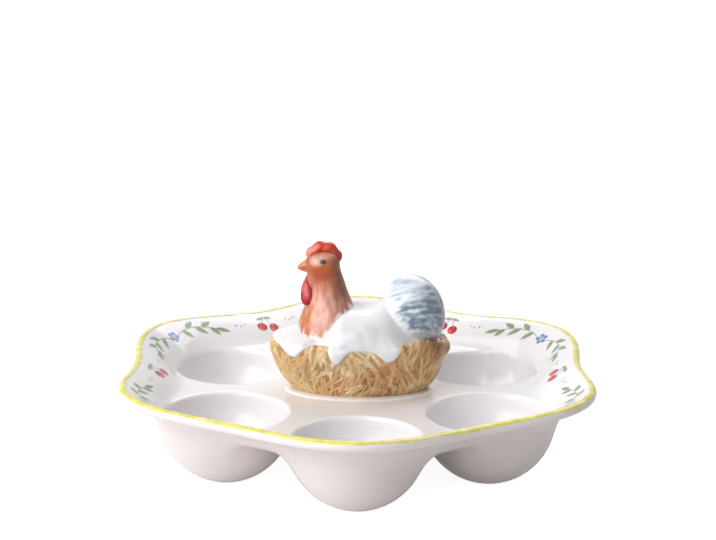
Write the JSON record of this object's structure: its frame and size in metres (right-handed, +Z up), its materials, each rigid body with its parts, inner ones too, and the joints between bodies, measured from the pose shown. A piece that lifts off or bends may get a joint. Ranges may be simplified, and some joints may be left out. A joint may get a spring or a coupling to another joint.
{
  "type": "egg plate",
  "caption": "Scalloped glazed egg plate with a ring of round egg wells whose bowls are its feet, and a hen sitting on a straw nest in the middle.",
  "frame": {"origin": "on the table, under the centre of the dish, midway between the feet", "axes": "+Z up; +Y away from the viewer, through two opposite egg wells; +X to the viewer's right, from the hen's head towards its tail"},
  "size_m": [0.2116, 0.2304, 0.1011],
  "materials": {
    "white_glaze": "clear gloss glaze on white earthenware, with a yellow line on the rim and small painted sprigs",
    "straw_enamel": "straw brown paint under a soft gloss glaze",
    "body_glaze": "clear gloss glaze on white earthenware",
    "neck_enamel": "orange brown paint under a gloss glaze",
    "comb_enamel": "red paint under a gloss glaze",
    "beak_enamel": "orange paint under a gloss glaze",
    "wattle_enamel": "crimson paint under a gloss glaze",
    "tail_enamel": "white glaze with blue grey brush strokes"
  },
  "bodies": {
    "root": {"dish": "white_glaze", "nest": "straw_enamel", "hen_body": "body_glaze", "hen_neck": "neck_enamel", "hen_comb": "comb_enamel", "hen_beak": "beak_enamel", "hen_wattle_left": "wattle_enamel", "hen_wattle_right": "wattle_enamel", "hen_tail": "tail_enamel"}
  },
  "joints": []
}
